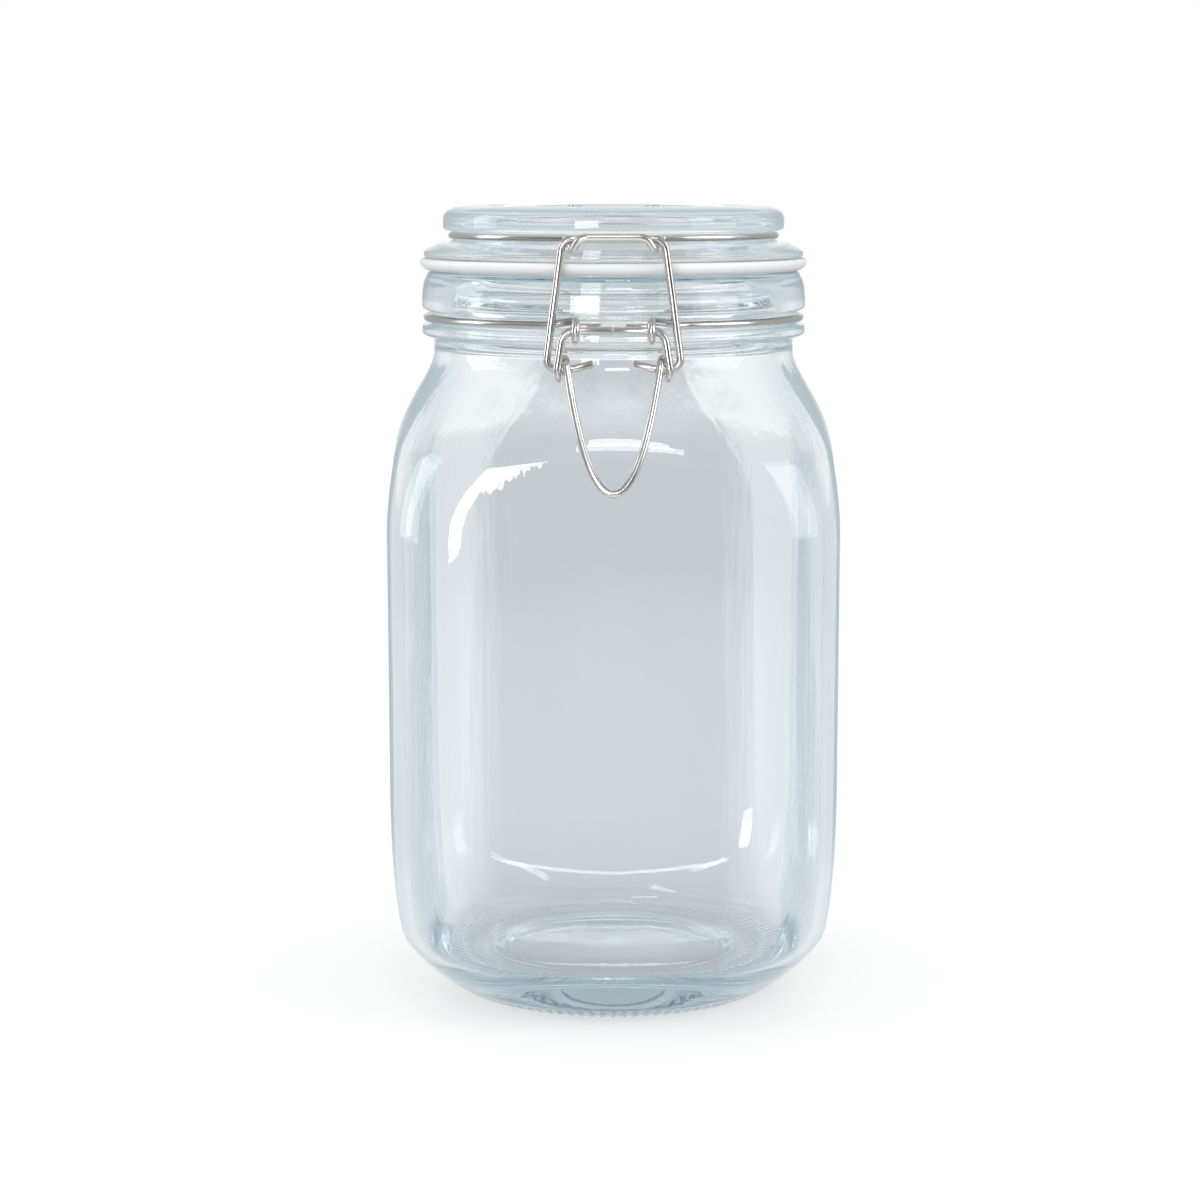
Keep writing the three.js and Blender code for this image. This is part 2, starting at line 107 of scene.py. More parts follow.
def new_material(name):
    """A node material without nodes: gives the material and its tree."""
    material = bpy.data.materials.new(name)
    material.use_nodes = True
    material.node_tree.nodes.clear()
    return material, material.node_tree


def new_group(name, inputs, outputs):
    """A node group with named sockets and their types: gives the group, its entry and its result node."""
    group = bpy.data.node_groups.new(name, "ShaderNodeTree")
    for way, sockets in (("INPUT", inputs), ("OUTPUT", outputs)):
        for label, kind in sockets.items():
            group.interface.new_socket(label, in_out=way, socket_type=kind)
    return group, group.nodes.new("NodeGroupInput"), group.nodes.new("NodeGroupOutput")


def add_node(tree, kind, sockets=None, **settings):
    """Adds a node with its settings. Its inputs are given by name or number, and each value is either a
    constant to set or an output to link."""
    node = tree.nodes.new(kind)
    for name, value in settings.items():
        setattr(node, name, value)
    for name, value in (sockets or {}).items():
        if isinstance(value, bpy.types.NodeSocket):
            tree.links.new(value, node.inputs[name])
        else:
            node.inputs[name].default_value = value
    return node


def maths(tree, operation, *values):
    """One arithmetic node: each value is a number or an output."""
    return add_node(tree, "ShaderNodeMath", dict(enumerate(values)), operation=operation).outputs[0]


def mixed(tree, share, first, second, blend="MIX"):
    """One mix of two colours: the first at share 0, the second at share 1."""
    return add_node(tree, "ShaderNodeMix", {"Factor": share, 6: first, 7: second},
                    data_type="RGBA", blend_type=blend).outputs[2]


def smooth_range(tree, value, start, end):
    """A value's way from start to end as a share: 3t^2 - 2t^3, 0 before it and 1 after it."""
    return add_node(tree, "ShaderNodeMapRange", {"Value": value, "From Min": start, "From Max": end},
                    interpolation_type="SMOOTHSTEP").outputs["Result"]


def seen_directly(tree):
    """1 for rays from the camera, mirrors and glass, and 0 for the light that the floor and lamps give."""
    path = add_node(tree, "ShaderNodeLightPath")
    camera_or_mirror = maths(tree, "MAXIMUM", path.outputs["Is Camera Ray"], path.outputs["Is Glossy Ray"])
    return maths(tree, "MAXIMUM", camera_or_mirror, path.outputs["Is Transmission Ray"])


def only_mirrored(tree):
    """1 for rays that steel or the skin of the glass mirrors, and 0 for all others: glossy less bent ones."""
    path = add_node(tree, "ShaderNodeLightPath")
    return maths(tree, "SUBTRACT", path.outputs["Is Glossy Ray"], path.outputs["Is Transmission Ray"])


def surround_tone_group():
    """How bright the surround is at a place, as a share of white. Through is for what glass bends into view:
    1, less the patch behind the jar, plus the side tone beside it, less the flank where X takes a large
    share of the level direction. The patch is bounded by |x| over the distance from the camera, and fades
    with Distance. Mirrored is 1 straight behind the jar and less to the sides."""
    group, entry, result = new_group(
        "surround_tone", {"Place": "NodeSocketVector", "Distance": "NodeSocketFloat"},
        {"Through": "NodeSocketFloat", "Mirrored": "NodeSocketFloat"})
    place, distance = entry.outputs["Place"], entry.outputs["Distance"]
    level = add_node(group, "ShaderNodeVectorMath", {0: place, 1: (1, 1, 0)}, operation="MULTIPLY")
    level = add_node(group, "ShaderNodeVectorMath", {0: level.outputs["Vector"]}, operation="NORMALIZE")
    direction = add_node(group, "ShaderNodeSeparateXYZ", {"Vector": level.outputs["Vector"]})
    spot = add_node(group, "ShaderNodeSeparateXYZ", {"Vector": place})
    share = maths(group, "ABSOLUTE", direction.outputs["X"])
    near = maths(group, "SUBTRACT", 1.0, smooth_range(group, distance, patch_start, patch_end))
    away = smooth_range(group, distance, flank_start, flank_end)
    behind = maths(group, "MAXIMUM",
                   smooth_range(group, direction.outputs["Y"], behind_start, behind_end),
                   maths(group, "SUBTRACT", 1.0, away))
    from_middle = maths(group, "DIVIDE", maths(group, "ABSOLUTE", spot.outputs["X"]),
                        maths(group, "ADD", spot.outputs["Y"], camera_distance))
    side = smooth_range(group, from_middle, patch_share_inner, patch_share_outer)
    in_patch = maths(group, "MULTIPLY", maths(group, "MULTIPLY", near, behind),
                     maths(group, "SUBTRACT", 1.0, side))
    patch = maths(group, "MULTIPLY", in_patch, patch_tone - 1)
    beside = maths(group, "ADD", maths(group, "MULTIPLY", near, side_tone - far_tone), far_tone - 1)
    beside = maths(group, "MULTIPLY", beside, side)
    flank = maths(group, "MULTIPLY", smooth_range(group, share, flank_share_inner, flank_share_outer), away)
    flank = maths(group, "MULTIPLY", flank,
                  maths(group, "SUBTRACT", maths(group, "MULTIPLY", near, flank_near_gain), flank_loss))
    through = maths(group, "ADD", maths(group, "ADD", patch, beside), maths(group, "ADD", flank, 1.0))
    aside = maths(group, "MULTIPLY", smooth_range(group, share, mirror_share_inner, mirror_share_outer), away)
    mirrored = maths(group, "SUBTRACT", 1.0, maths(group, "MULTIPLY", aside, mirror_loss))
    group.links.new(through, result.inputs["Through"])
    group.links.new(mirrored, result.inputs["Mirrored"])
    return group


surround_tone = surround_tone_group()


def tone_seen(tree, place, distance):
    """The surround's tone at a place for rays that come through glass or off a mirroring skin, and 1 for
    all other rays: 1 + through * (Through - 1) + mirrored * (Mirrored - 1)."""
    tone = add_node(tree, "ShaderNodeGroup", {"Place": place, "Distance": distance},
                    node_tree=surround_tone)
    path = add_node(tree, "ShaderNodeLightPath")
    through = maths(tree, "MULTIPLY", path.outputs["Is Transmission Ray"],
                    maths(tree, "SUBTRACT", tone.outputs["Through"], 1.0))
    off_skin = maths(tree, "MULTIPLY", only_mirrored(tree),
                     maths(tree, "SUBTRACT", tone.outputs["Mirrored"], 1.0))
    return maths(tree, "ADD", maths(tree, "ADD", through, off_skin), 1.0)


def make_floor():
    """The floor: white, lit by the lamps, with a glow for direct sight that takes it to plain white. Away
    from the jar it fades into a glow as white as the room, which mirrors see dark in front. Through glass
    it turns cool as its tone falls from 1 to that of the patch."""
    corners = [(-floor_half, -floor_half, 0), (floor_half, -floor_half, 0),
               (floor_half, floor_half, 0), (-floor_half, floor_half, 0)]
    mesh = bpy.data.meshes.new("floor")
    mesh.from_pydata(corners, [], [(0, 1, 2, 3)])
    floor = bpy.data.objects.new("floor", mesh)
    bpy.context.collection.objects.link(floor)
    material, tree = new_material("floor_white")
    place = add_node(tree, "ShaderNodeTexCoord").outputs["Object"]
    distance = add_node(tree, "ShaderNodeVectorMath", {0: place}, operation="LENGTH").outputs["Value"]
    tone = tone_seen(tree, place, distance)
    path = add_node(tree, "ShaderNodeLightPath")
    cool = maths(tree, "MULTIPLY", path.outputs["Is Transmission Ray"],
                 smooth_range(tree, tone, 1.0, patch_tone))
    tint = mixed(tree, cool, white, patch_colour)
    own_colour = mixed(tree, 1.0, floor_colour, tint, "MULTIPLY")
    paint = add_node(tree, "ShaderNodeBsdfDiffuse", {"Color": mixed(tree, tone, black, own_colour)})
    from_below = maths(tree, "MULTIPLY", maths(tree, "MULTIPLY", seen_directly(tree), floor_glow), tone)
    glow = add_node(tree, "ShaderNodeEmission", {"Strength": from_below, "Color": tint})
    both = add_node(tree, "ShaderNodeAddShader", {0: paint.outputs[0], 1: glow.outputs[0]})
    ahead = add_node(tree, "ShaderNodeSeparateXYZ", {"Vector": place}).outputs["Y"]
    in_front = maths(tree, "MULTIPLY", only_mirrored(tree),
                     smooth_range(tree, ahead, front_dark_start, front_dark_end))
    far = add_node(tree, "ShaderNodeEmission",
                   {"Strength": tone, "Color": mixed(tree, in_front, tint, room_mirrored)})
    fade = smooth_range(tree, distance, floor_fade_start, floor_fade_end)
    whole = add_node(tree, "ShaderNodeMixShader", {0: fade, 1: both.outputs[0], 2: far.outputs[0]})
    add_node(tree, "ShaderNodeOutputMaterial", {"Surface": whole.outputs[0]})
    mesh.materials.append(material)


def make_room():
    """The room: white in front of the camera and darker behind it, by the direction's share along Y, but
    white all round for the camera itself. For light that glass bends it is darker overhead, and steel and
    the skin of the glass mirror a darker room near the level."""
    world = bpy.data.worlds.new("room")
    bpy.context.scene.world = world
    world.use_nodes = True
    tree = world.node_tree
    tree.nodes.clear()
    place = add_node(tree, "ShaderNodeTexCoord").outputs["Generated"]
    parts = add_node(tree, "ShaderNodeSeparateXYZ", {"Vector": place})
    path = add_node(tree, "ShaderNodeLightPath")
    low = maths(tree, "SUBTRACT", 1.0, smooth_range(tree, parts.outputs["Z"], mirrored_low, mirrored_high))
    dark = mixed(tree, maths(tree, "MULTIPLY", only_mirrored(tree), low), room_through, room_mirrored)
    bright = maths(tree, "MAXIMUM", smooth_range(tree, parts.outputs["Y"], room_back, room_front),
                   path.outputs["Is Camera Ray"])
    overhead = maths(tree, "MULTIPLY", path.outputs["Is Transmission Ray"],
                     smooth_range(tree, parts.outputs["Z"], overhead_start, overhead_end))
    kept = maths(tree, "SUBTRACT", 1.0, maths(tree, "MULTIPLY", overhead, overhead_loss))
    direct = maths(tree, "MULTIPLY", tone_seen(tree, place, patch_end), kept)
    strength = add_node(tree, "ShaderNodeMapRange",
                        {"Value": seen_directly(tree), "To Min": room_strength, "To Max": direct})
    glow = add_node(tree, "ShaderNodeBackground",
                    {"Color": mixed(tree, bright, dark, white), "Strength": strength.outputs["Result"]})
    add_node(tree, "ShaderNodeOutputWorld", {"Surface": glow.outputs[0]})


def make_lamp(name, place, aim, size, power):
    """A soft rectangular lamp, turned from its place towards the point it is aimed at."""
    lamp = bpy.data.objects.new(name, bpy.data.lights.new(name, "AREA"))
    bpy.context.collection.objects.link(lamp)
    lamp.data.shape = "RECTANGLE"
    lamp.data.size, lamp.data.size_y = size
    lamp.data.energy = power
    lamp.location = place
    direction = np.subtract(aim, place)
    across = math.atan2(-direction[0], direction[1])
    down = math.atan2(math.hypot(direction[0], direction[1]), -direction[2])
    lamp.rotation_euler = (down, 0, across)


make_floor()
make_room()
for lamp_values in lamps:
    make_lamp(*lamp_values)


# The glass body
# A square jar blown into a mould from clear soda glass, with a round neck, a thick base with a pushed-up
# middle, and a ring of fine ribs where it stands. It replaces the plain solid and keeps its sizes.
body_half = body_high.x
mouth_height = body_high.z
body_corner = 0.020
body_wall = 0.0038
bore_radius = 0.042
lip_radius = 0.0481
lip_round = 0.0012
collar_radius = 0.04935
collar_bulge_drop = 0.0086
collar_foot_drop = 0.0096
wire_radius = 0.00097
seat_gap = 0.0003
neck_wire_radius = 0.048
neck_wire_height = 0.1757
groove_half = 0.0017
groove_flare = 0.0009
groove_root = neck_wire_radius - wire_radius - seat_gap
lower_rim_radius = 0.0493
lower_rim_depth = 0.0028
rim_round = 0.0008
neck_radius = 0.0463
neck_foot = 0.1669
shoulder_foot = 0.1413
shoulder_rise = 0.0051
shoulder_fall = 0.0112
square_top = 0.1688
square_full = 0.1245
heel_top = 0.060
heel_rise = 0.046
heel_reach = 0.0155
heel_square = 0.024
bearing_outer = 0.035
bearing_inner = 0.032
push_up_height = 0.0042
push_up_slope = 0.003
floor_height = 0.0116
floor_radius = 0.040
floor_dish = 0.0008
floor_round = 0.0012
floor_step = 0.0005
floor_ring_radius = 0.0318
floor_ring_width = 0.0032
floor_ring_drop = 0.0006
rib_count = 96
rib_depth = 0.0006
rib_inner, rib_outer = 0.0375, 0.0465
rib_fade = 0.0016
ring_columns = 4 * rib_count
shoulder_points = 26
same_place = 1e-7
glass_ior = 1.5
glass_depth_colour = (0.235, 0.415, 0.485, 1)
edge_start, edge_end = 0.55, 0.95
last_bounce, last_reflection = 11.5, 3.5
# The colour of the painted glow that glass emits on a path at its last bounce, in place of black.
painted_glow_tone = (0.34, 0.39, 0.41, 1)
line_scale = 90.0
swell_detail, line_detail = 2.0, 3.0
body_depth = 12.5
body_tint = (0.974, 0.985, 0.990, 1)
body_edge_tint = (0.72, 0.82, 0.85, 1)
body_swell_scale = 24.0
body_line_stretch, body_line_share = (1.6, 1.6, 0.1), 0.25
body_wave_height = 0.0003


def curve(points, count):
    """A Bezier curve: each pull point weighted by its Bernstein share, at evenly spaced parameters."""
    pulls = np.array(points, float)
    order = len(pulls) - 1
    t = np.linspace(0, 1, count)[:, None]
    k = np.arange(order + 1)
    weights = np.array([math.comb(order, i) for i in k])
    shares = weights * t**k * (1 - t) ** (order - k)
    return shares @ pulls


def line(start, end, count):
    """Points evenly spaced from start to end."""
    return np.linspace(start, end, count)


def joined(*stretches):
    """Puts stretches of a profile end to end and leaves out points that repeat the one before."""
    points = np.concatenate([np.atleast_2d(s) for s in stretches])
    steps = np.linalg.norm(np.diff(points, axis=0), axis=1)
    return points[np.concatenate([[True], steps > same_place])]


def smoothstep(value, low, high):
    """0 below low, 1 above high, and 3t^2 - 2t^3 between them."""
    t = np.clip((value - low) / (high - low), 0, 1)
    return t * t * (3 - 2 * t)


def closed_mesh(name, grid, first_pole=None, last_pole=None, round_rows=False):
    """A closed mesh over a grid of rows by columns: columns wrap round, and the first and last row either
    meet each other, or close in a pole each. The grid is drawn round the jar's axis, and moved to it here."""
    rows, columns = grid.shape[:2]
    points = grid.reshape(-1, 3)
    row = np.arange(rows if round_rows else rows - 1)[:, None]
    column = np.arange(columns)[None, :]
    after = (column + 1) % columns
    below = (row + 1) % rows
    corners = [row * columns + column, below * columns + column,
               below * columns + after, row * columns + after]
    faces = np.stack([np.broadcast_to(c, (len(row), columns)) for c in corners], -1).reshape(-1, 4)
    loops, starts = [faces.ravel()], [np.arange(len(faces)) * 4]
    used = faces.size
    for pole, first in ((first_pole, True), (last_pole, False)):
        if pole is None:
            continue
        edge = np.arange(columns) + (0 if first else (rows - 1) * columns)
        ahead = np.roll(edge, -1)
        middle = np.full(columns, len(points))
        points = np.concatenate([points, [pole]])
        fan = np.stack([middle, edge, ahead] if first else [middle, ahead, edge], -1)
        loops.append(fan.ravel())
        starts.append(used + np.arange(columns) * 3)
        used += fan.size
    points = points + (0, axis_y, 0)
    mesh = bpy.data.meshes.new(name)
    mesh.vertices.add(len(points))
    mesh.vertices.foreach_set("co", points.ravel())
    mesh.loops.add(used)
    mesh.loops.foreach_set("vertex_index", np.concatenate(loops))
    starts = np.concatenate(starts)
    mesh.polygons.add(len(starts))
    mesh.polygons.foreach_set("loop_start", starts)
    mesh.update(calc_edges=True)
    mesh.polygons.foreach_set("use_smooth", np.ones(len(starts), bool))
    piece = bpy.data.objects.new(name, mesh)
    bpy.context.collection.objects.link(piece)
    return piece


def squareness(height):
    """0 where the body is round, at the neck and the base, and 1 where it is fully square."""
    return (1 - smoothstep(height, square_full, square_top)) * smoothstep(height, 0, heel_square)


def body_rings(profile, corner):
    """Rings of the body: at each height a blend of a circle and a rounded square of the same half width,
    by squareness. The square spends half of each quarter turn on its flat side and half on its corner."""
    half, height = profile[:, 0, None], profile[:, 1, None]
    angle = np.linspace(0, 2 * math.pi, ring_columns, endpoint=False)[None, :]
    quarter = math.pi / 2
    side = np.round(angle / quarter) * quarter
    turn = angle - side
    flat_part = quarter / 4
    straight = half - np.minimum(corner, half)
    bend = np.sign(turn) * np.maximum(np.abs(turn) - flat_part, 0) * 2
    along = np.clip(turn / flat_part, -1, 1)
    out = straight + (half - straight) * np.cos(bend)
    over = straight * along + (half - straight) * np.sin(bend)
    square_x = out * np.cos(side) - over * np.sin(side)
    square_y = out * np.sin(side) + over * np.cos(side)
    share = squareness(height)
    x = (1 - share) * half * np.cos(angle) + share * square_x
    y = (1 - share) * half * np.sin(angle) + share * square_y
    return np.stack([x, y, np.broadcast_to(height, x.shape)], -1)


def neck_profile():
    """Half widths and heights from the bore over the lip, the collar, the wire's groove and the rim."""
    bulge = mouth_height - collar_bulge_drop
    collar_foot = mouth_height - collar_foot_drop
    groove_top = neck_wire_height + groove_half
    groove_bottom = neck_wire_height - groove_half
    rim_bottom = groove_bottom - lower_rim_depth
    return joined(
        curve([(bore_radius, mouth_height - lip_round), (bore_radius, mouth_height),
               (bore_radius + lip_round, mouth_height)], 7),
        curve([(lip_radius - lip_round, mouth_height), (lip_radius, mouth_height),
               (lip_radius, mouth_height - lip_round)], 7),
        curve([(lip_radius, mouth_height - lip_round), (collar_radius, mouth_height - 2 * lip_round),
               (collar_radius, bulge)], 12),
        curve([(collar_radius, bulge), (collar_radius, collar_foot),
               (groove_root + groove_flare, groove_top)], 7),
        curve([(groove_root + groove_flare, groove_top), (groove_root, groove_top),
               (groove_root, groove_top - groove_flare)], 4),
        curve([(groove_root, groove_bottom + groove_flare), (groove_root, groove_bottom),
               (groove_root + groove_flare, groove_bottom)], 4),
        curve([(lower_rim_radius - rim_round, groove_bottom), (lower_rim_radius, groove_bottom),
               (lower_rim_radius, groove_bottom - rim_round)], 6),
        curve([(lower_rim_radius, rim_bottom + rim_round), (lower_rim_radius, rim_bottom),
               (neck_radius, rim_bottom - rim_round)], 7),
    )


def shoulder_curve(count):
    """The outside of the shoulder, one long S from the foot of the neck down to the straight side."""
    return curve([(neck_radius, neck_foot), (neck_radius, neck_foot - shoulder_rise),
                  (body_half, shoulder_foot + shoulder_fall), (body_half, shoulder_foot)], count)


def side_profile():
    """The shoulder as one long S, the straight side, and the heel as one long curve down to the base."""
    return joined(
        shoulder_curve(shoulder_points),
        line((body_half, shoulder_foot), (body_half, square_full), 6),
        line((body_half, square_full), (body_half, heel_top), 4),
        curve([(body_half, heel_top), (body_half, heel_top - heel_rise),
               (bearing_outer + heel_reach, 0), (bearing_outer, 0)], 44),
    )


def base_profile():
    """The flat ring that the jar stands on and the pushed-up middle, up to near its centre."""
    return joined(
        line((bearing_outer, 0), (bearing_inner, 0), 5),
        curve([(bearing_inner, 0), (bearing_inner - push_up_slope / 2, 0),
               (bearing_inner - push_up_slope / 2, push_up_height / 2)], 5),
        curve([(bearing_inner - push_up_slope / 2, push_up_height / 2),
               (bearing_inner - push_up_slope, push_up_height), (bearing_inner / 2, push_up_height)], 8),
        line((bearing_inner / 2, push_up_height), (bearing_inner / 9, push_up_height), 4),
    )


def inside_profile():
    """The inside, from near the floor's middle over its ring and edge, up the wall, and in to the bore. Under
    the shoulder it runs parallel to the outside: each point goes in by the wall, square to the curve."""
    inner_half = body_half - body_wall
    outer = shoulder_curve(shoulder_points)[::-1]
    ahead = np.gradient(outer, axis=0, edge_order=2)
    inward = np.stack([-ahead[:, 1], ahead[:, 0]], -1) / np.linalg.norm(ahead, axis=1)[:, None]
    wall = np.linspace(body_wall, neck_radius - bore_radius, len(outer))[:, None]
    shoulder = outer + inward * wall
    low_floor = floor_height - floor_ring_drop
    ring_start = floor_ring_radius - floor_ring_width / 2
    ring_end = floor_ring_radius + floor_ring_width / 2
    edge = curve([(floor_radius - floor_round, low_floor), (floor_radius, low_floor),
                  (floor_radius + floor_round, low_floor + floor_step)], 5)
    return joined(
        line((floor_radius / 9, floor_height - floor_dish), (ring_start, floor_height), 6),
        curve([(ring_start, floor_height), (floor_ring_radius, floor_height),
               (floor_ring_radius, low_floor), (ring_end, low_floor)], 7),
        line((ring_end, low_floor), (floor_radius - floor_round, low_floor), 3),
        edge,
        curve([edge[-1], (floor_radius + heel_reach / 2, low_floor + floor_step),
               (inner_half, heel_top - heel_rise), (inner_half, heel_top)], 30),
        line((inner_half, heel_top), (inner_half, square_full), 4),
        line((inner_half, square_full), (inner_half, shoulder_foot), 6)[:-1],
        shoulder,
        line(shoulder[-1], (bore_radius, mouth_height - lip_round), 6),
    )


def with_ribs(rings):
    """Cuts the fine ribs of the standing ring: grooves by a cosine of the angle, faded out at both radii."""
    radius = np.hypot(rings[..., 0], rings[..., 1])
    angle = np.arctan2(rings[..., 1], rings[..., 0])
    fade = smoothstep(radius, rib_inner, rib_inner + rib_fade) * (
        1 - smoothstep(radius, rib_outer - rib_fade, rib_outer))
    low = rings[..., 2] < floor_height / 2
    depth = rib_depth * fade * low * (0.5 - 0.5 * np.cos(rib_count * angle))
    ribbed = rings.copy()
    ribbed[..., 2] += depth
    return ribbed


def make_body():
    """The closed glass wall: the inside rings, then the outside rings, with a pole in the floor and base."""
    inside = body_rings(inside_profile(), body_corner - body_wall)
    outside = body_rings(joined(neck_profile(), side_profile(), base_profile()), body_corner)
    grid = np.concatenate([inside, with_ribs(outside)])
    return closed_mesh("glass_body", grid, (0, 0, floor_height - floor_dish), (0, 0, push_up_height))


def waviness_group():
    """Height of moulded glass: broad swells, plus Line Share times finer lines stretched by Line Stretch."""
    group, entry, result = new_group(
        "glass_waviness", {"Swell Scale": "NodeSocketFloat", "Line Share": "NodeSocketFloat",
                           "Line Stretch": "NodeSocketVector"}, {"Height": "NodeSocketFloat"})
    place = add_node(group, "ShaderNodeTexCoord").outputs["Object"]
    swell = add_node(group, "ShaderNodeTexNoise",
                     {"Vector": place, "Scale": entry.outputs["Swell Scale"], "Detail": swell_detail})
    flat = add_node(group, "ShaderNodeMapping", {"Vector": place, "Scale": entry.outputs["Line Stretch"]})
    lines = add_node(group, "ShaderNodeTexNoise",
                     {"Vector": flat.outputs["Vector"], "Scale": line_scale, "Detail": line_detail})
    weighted = maths(group, "MULTIPLY", lines.outputs["Fac"], entry.outputs["Line Share"])
    group.links.new(maths(group, "ADD", swell.outputs["Fac"], weighted), result.inputs["Height"])
    return group


glass_waviness = waviness_group()


def glass_material(name, tint, edge_tint, density, swell_scale, line_stretch, line_share, wave_height):
    """Clear glass: full transmission, a tint that goes over to the edge tint where the skin is seen at a
    slant, a cool colour that deepens with the length of glass that light runs through, and the waviness of
    the mould in its normal. A path that is at its last bounce gets a painted glow in the deep tone instead
    of black: the glass emits it, standing in for the light that would have come through."""
    material, tree = new_material(name)
    wave = add_node(tree, "ShaderNodeGroup", {"Swell Scale": swell_scale, "Line Share": line_share,
                                              "Line Stretch": line_stretch}, node_tree=glass_waviness)
    bump = add_node(tree, "ShaderNodeBump",
                    {"Height": wave.outputs["Height"], "Distance": wave_height, "Strength": 1.0})
    # A painted glow: on a path at its last bounce the glass emits the deep tone as light.
    path = add_node(tree, "ShaderNodeLightPath")
    last = maths(tree, "MAXIMUM", maths(tree, "GREATER_THAN", path.outputs["Ray Depth"], last_bounce),
                 maths(tree, "GREATER_THAN", path.outputs["Glossy Depth"], last_reflection))
    slant = add_node(tree, "ShaderNodeLayerWeight").outputs["Facing"]
    colour = mixed(tree, smooth_range(tree, slant, edge_start, edge_end), tint, edge_tint)
    shader = add_node(tree, "ShaderNodeBsdfPrincipled", {
        "Base Color": colour, "Metallic": 0.0, "Roughness": 0.0, "IOR": glass_ior,
        "Transmission Weight": 1.0, "Normal": bump.outputs["Normal"],
        "Emission Color": mixed(tree, last, black, painted_glow_tone), "Emission Strength": 1.0})
    depth = add_node(tree, "ShaderNodeVolumeAbsorption", {"Color": glass_depth_colour, "Density": density})
    add_node(tree, "ShaderNodeOutputMaterial",
             {"Surface": shader.outputs["BSDF"], "Volume": depth.outputs["Volume"]})
    return material


glass_body = make_body()
glass_body.data.materials.append(
    glass_material("body_glass", body_tint, body_edge_tint, body_depth, body_swell_scale,
                   body_line_stretch, body_line_share, body_wave_height))
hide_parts("jar_body")
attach(glass_body, "jar")


# The lid
# A pressed glass lid: a dished panel inside a thick rim, a groove that the lid wire is sprung into, a
# flange that presses on the sealing ring, and a plug that reaches down into the bore.
lid_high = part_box("lid")[1]
flange_radius = lid_high.x
flange_thickness = 0.002
flange_round = 0.0008
gasket_thickness = 0.003
lid_neck_radius = 0.0437
lid_wire_height = 0.1965
lid_wire_radius = 0.0415
lid_rim_radius = 0.04385
lid_rim_side = 0.0028
lid_rim_flare = 0.0012
lid_height = lid_high.z
lid_crest_radius = 0.037
lid_rim_inner = 0.0346
lid_dish_height = 0.199
lid_dish_radius = 0.032
lid_panel = 0.0046
plug_fit = 0.0008
plug_wall = 0.0036
plug_reach = 0.0074
plug_round = 0.0012
lid_columns = 288
lid_tint = (0.99, 0.993, 0.995, 1)
lid_edge_tint = (0.93, 0.96, 0.97, 1)
lid_depth = 6.0
lid_swell_scale = 30.0
lid_line_stretch, lid_line_share = (0.12, 0.12, 1.6), 0.05
lid_wave_height = 0.00012


def turned_rings(profile, columns):
    """Spins a profile of radii and heights round the Z axis."""
    angle = np.linspace(0, 2 * math.pi, columns, endpoint=False)[None, :]
    radius, height = profile[:, 0, None], profile[:, 1, None]
    x = radius * np.cos(angle)
    return np.stack([x, radius * np.sin(angle), np.broadcast_to(height, x.shape)], -1)


def lid_profile():
    """The lid's section, from the middle of the ceiling over the plug, flange, groove and rim to the dish,
    and the height of the ceiling."""
    flange_bottom = mouth_height + gasket_thickness + 2 * seat_gap
    flange_top = flange_bottom + flange_thickness
    groove = lid_wire_radius - wire_radius - seat_gap
    top = lid_wire_height + wire_radius + seat_gap
    bottom = lid_wire_height - wire_radius - seat_gap
    plug = bore_radius - plug_fit
    plug_bottom = mouth_height - plug_reach
    hollow = plug - plug_wall
    ceiling = lid_dish_height - lid_panel
    return joined(
        line((hollow / 12, ceiling), (hollow - plug_round, ceiling), 6),
        curve([(hollow - plug_round, ceiling), (hollow, ceiling), (hollow, ceiling - plug_round)], 7),
        line((hollow, ceiling - plug_round), (hollow, plug_bottom + plug_round), 4),
        curve([(hollow, plug_bottom + plug_round), (hollow + plug_wall / 2, plug_bottom - plug_round),
               (plug, plug_bottom + plug_round)], 13),
        line((plug, plug_bottom + plug_round), (plug, flange_bottom), 4),
        line((plug, flange_bottom), (flange_radius - flange_round, flange_bottom), 3),
        curve([(flange_radius - flange_round, flange_bottom), (flange_radius, flange_bottom),
               (flange_radius, flange_bottom + flange_round)], 6),
        curve([(flange_radius, flange_top - flange_round), (flange_radius, flange_top),
               (lid_neck_radius, bottom)], 9),
        curve([(lid_neck_radius, bottom), (groove, bottom), (groove, bottom + wire_radius)], 6),
        curve([(groove, top - wire_radius), (groove, top), (lid_rim_radius - lid_rim_flare, top)], 6),
        curve([(lid_rim_radius - lid_rim_flare, top), (lid_rim_radius, top),
               (lid_rim_radius, top + lid_rim_flare)], 6),
        curve([(lid_rim_radius, top + lid_rim_side), (lid_rim_radius, lid_height),
               (lid_crest_radius, lid_height)], 12),
        curve([(lid_crest_radius, lid_height), (lid_rim_inner, lid_height),
               (lid_rim_inner - plug_round, lid_height - plug_round)], 7),
        curve([(lid_dish_radius + plug_round, lid_dish_height + plug_round),
               (lid_dish_radius, lid_dish_height), (lid_dish_radius - 2 * plug_round, lid_dish_height)], 7),
        line((lid_dish_radius - 2 * plug_round, lid_dish_height), (hollow / 12, lid_dish_height), 6),
    ), ceiling


lid_section, lid_ceiling = lid_profile()
glass_lid = closed_mesh("glass_lid", turned_rings(lid_section[::-1], lid_columns),
                        (0, 0, lid_dish_height), (0, 0, lid_ceiling))
glass_lid.data.materials.append(
    glass_material("lid_glass", lid_tint, lid_edge_tint, lid_depth, lid_swell_scale,
                   lid_line_stretch, lid_line_share, lid_wave_height))
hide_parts("lid")
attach(glass_lid, "lid")


